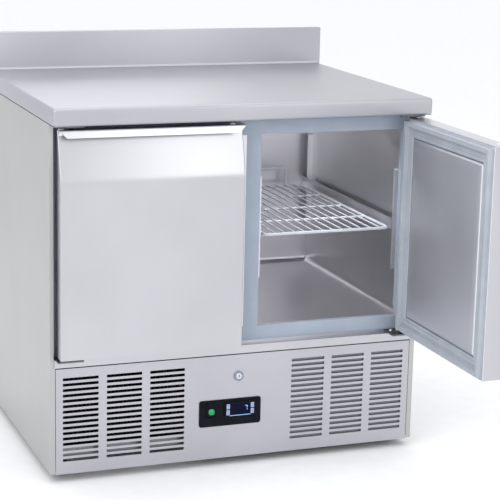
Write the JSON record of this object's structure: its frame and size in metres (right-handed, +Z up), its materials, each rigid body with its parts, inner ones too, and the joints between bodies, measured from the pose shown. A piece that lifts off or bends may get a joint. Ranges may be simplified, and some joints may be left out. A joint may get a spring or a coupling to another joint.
{
  "type": "undercounter refrigerator",
  "caption": "Undercounter refrigerator with hinged insulated doors with grip rails, wire shelves, a slotted machine panel with controls, an upstand worktop and castors.",
  "frame": {"origin": "on the floor, under the middle of the worktop's plan outline", "axes": "+Z up, doors face -Y, +X to the right of someone facing the doors"},
  "size_m": [0.9, 1.0915, 0.955],
  "materials": {
    "stainless_steel": "fine brushed",
    "galvanised_steel": "zinc coated",
    "board": "raw particle board",
    "foam": "rigid polyurethane foam",
    "frame_plastic": "satin moulded",
    "gasket_rubber": "soft magnetic seal",
    "black_plastic": "fine grain",
    "nylon": "smooth",
    "dark_steel": "dark zinc plate",
    "zinc_steel": "bright plated",
    "coated_wire": "white polymer coat over wire",
    "black_enamel": "semi-gloss enamel",
    "aluminium_fin": "bare fins",
    "copper": "drawn copper tube",
    "screen": "dark window",
    "key_plastic": "printed membrane",
    "wheel_rubber": "moulded"
  },
  "bodies": {
    "cabinet": {"worktop": "stainless_steel", "worktop_core": "board", "side_panel_left": "stainless_steel", "side_panel_right": "stainless_steel", "back_panel": "stainless_steel", "rear_grille": "galvanised_steel", "cord_inlet": "black_plastic", "cabinet_foam": "foam", "inner_liner": "stainless_steel", "breaker_frame": "frame_plastic", "mullion_post": "stainless_steel", "bottom_rail": "stainless_steel", "base_pan": "galvanised_steel", "hinge_brackets": "dark_steel", "hinge_screws": "zinc_steel", "shelf_uprights": "stainless_steel", "shelf_runners": "stainless_steel", "evaporator_cover": "stainless_steel", "evaporator_coil": "aluminium_fin", "fan_motors": "black_enamel", "compressor": "black_enamel", "condenser": "aluminium_fin", "drip_tray": "black_plastic", "refrigerant_pipes": "copper", "castor_mounts": "galvanised_steel"},
    "door_left": {"door_skin_left": "stainless_steel", "door_foam_left": "foam", "door_grip_left": "stainless_steel", "door_panel_left": "stainless_steel", "door_gasket_left": "gasket_rubber", "door_bushes_left": "nylon"},
    "door_right": {"door_skin_right": "stainless_steel", "door_foam_right": "foam", "door_grip_right": "stainless_steel", "door_panel_right": "stainless_steel", "door_gasket_right": "gasket_rubber", "door_bushes_right": "nylon"},
    "shelf_left": {"shelf_left": "coated_wire"},
    "shelf_right": {"shelf_right": "coated_wire"},
    "lower_panel": {"lower_panel": "stainless_steel", "air_baffle": "galvanised_steel", "control_plate": "black_plastic", "switch_housing": "black_plastic", "controller_body": "black_plastic", "controller_screen": "screen", "lock_housing": "zinc_steel"},
    "switch_rocker": {"switch_rocker": "black_plastic"},
    "key_up": {"key_up": "key_plastic"},
    "key_down": {"key_down": "key_plastic"},
    "key_set": {"key_set": "key_plastic"},
    "key_defrost": {"key_defrost": "key_plastic"},
    "lock_barrel": {"lock_barrel": "zinc_steel"},
    "evaporator_fan": {"evaporator_fan": "black_plastic"},
    "condenser_fan": {"condenser_fan": "black_plastic"},
    "castor_fork_front_left": {"castor_fork_front_left": "galvanised_steel"},
    "castor_fork_front_right": {"castor_fork_front_right": "galvanised_steel"},
    "castor_wheel_front_left": {"castor_wheel_front_left": "wheel_rubber"},
    "castor_wheel_front_right": {"castor_wheel_front_right": "wheel_rubber"},
    "castor_wheel_rear_left": {"castor_wheel_rear_left": "wheel_rubber"},
    "castor_wheel_rear_right": {"castor_wheel_rear_right": "wheel_rubber"}
  },
  "joints": [
    {"name": "door_left_hinge", "type": "hinge", "parent": "cabinet", "child": "door_left", "pos_m": [-0.4255, -0.324, 0.555], "axis": [0, 0, -1], "range_deg": [0, 100]},
    {"name": "door_right_hinge", "type": "hinge", "parent": "cabinet", "child": "door_right", "pos_m": [0.4255, -0.324, 0.555], "axis": [0, 0, 1], "range_deg": [-90, 10]},
    {"name": "shelf_left_slide", "type": "slide", "parent": "cabinet", "child": "shelf_left", "axis": [0, -1, 0], "range_m": [0, 0.015]},
    {"name": "shelf_right_slide", "type": "slide", "parent": "cabinet", "child": "shelf_right", "axis": [0, -1, 0], "range_m": [0, 0.4]},
    {"name": "lower_panel_hinge", "type": "hinge", "parent": "cabinet", "child": "lower_panel", "pos_m": [0, -0.303, 0.028], "axis": [1, 0, 0], "range_deg": [0, 80]},
    {"name": "switch_rocker_pivot", "type": "hinge", "parent": "lower_panel", "child": "switch_rocker", "pos_m": [-0.068, -0.304, 0.138], "axis": [1, 0, 0], "range_deg": [0, 14]},
    {"name": "key_up_press", "type": "slide", "parent": "lower_panel", "child": "key_up", "axis": [0, 1, 0], "range_m": [0, 0.0008], "stiffness_N_per_m": 800},
    {"name": "key_down_press", "type": "slide", "parent": "lower_panel", "child": "key_down", "axis": [0, 1, 0], "range_m": [0, 0.0008], "stiffness_N_per_m": 800},
    {"name": "key_set_press", "type": "slide", "parent": "lower_panel", "child": "key_set", "axis": [0, 1, 0], "range_m": [0, 0.0008], "stiffness_N_per_m": 800},
    {"name": "key_defrost_press", "type": "slide", "parent": "lower_panel", "child": "key_defrost", "axis": [0, 1, 0], "range_m": [0, 0.0008], "stiffness_N_per_m": 800},
    {"name": "lock_turn", "type": "hinge", "parent": "lower_panel", "child": "lock_barrel", "pos_m": [0, -0.3, 0.217], "axis": [0, -1, 0], "range_deg": [0, 90]},
    {"name": "evaporator_fan_spin", "type": "hinge", "parent": "cabinet", "child": "evaporator_fan", "pos_m": [0, 0.237, 0.64], "axis": [0, 1, 0], "continuous": true},
    {"name": "condenser_fan_spin", "type": "hinge", "parent": "cabinet", "child": "condenser_fan", "pos_m": [-0.28, -0.195, 0.15], "axis": [0, 1, 0], "continuous": true},
    {"name": "castor_swivel_left", "type": "hinge", "parent": "cabinet", "child": "castor_fork_front_left", "pos_m": [-0.409, -0.262, 0.043], "axis": [0, 0, 1], "continuous": true},
    {"name": "castor_wheel_front_left_roll", "type": "hinge", "parent": "castor_fork_front_left", "child": "castor_wheel_front_left", "pos_m": [-0.409, -0.246, 0.018], "axis": [1, 0, 0], "continuous": true},
    {"name": "castor_wheel_rear_left_roll", "type": "hinge", "parent": "cabinet", "child": "castor_wheel_rear_left", "pos_m": [-0.409, 0.27, 0.018], "axis": [1, 0, 0], "continuous": true},
    {"name": "castor_swivel_right", "type": "hinge", "parent": "cabinet", "child": "castor_fork_front_right", "pos_m": [0.409, -0.262, 0.043], "axis": [0, 0, 1], "continuous": true},
    {"name": "castor_wheel_front_right_roll", "type": "hinge", "parent": "castor_fork_front_right", "child": "castor_wheel_front_right", "pos_m": [0.409, -0.246, 0.018], "axis": [1, 0, 0], "continuous": true},
    {"name": "castor_wheel_rear_right_roll", "type": "hinge", "parent": "cabinet", "child": "castor_wheel_rear_right", "pos_m": [0.409, 0.27, 0.018], "axis": [1, 0, 0], "continuous": true}
  ]
}
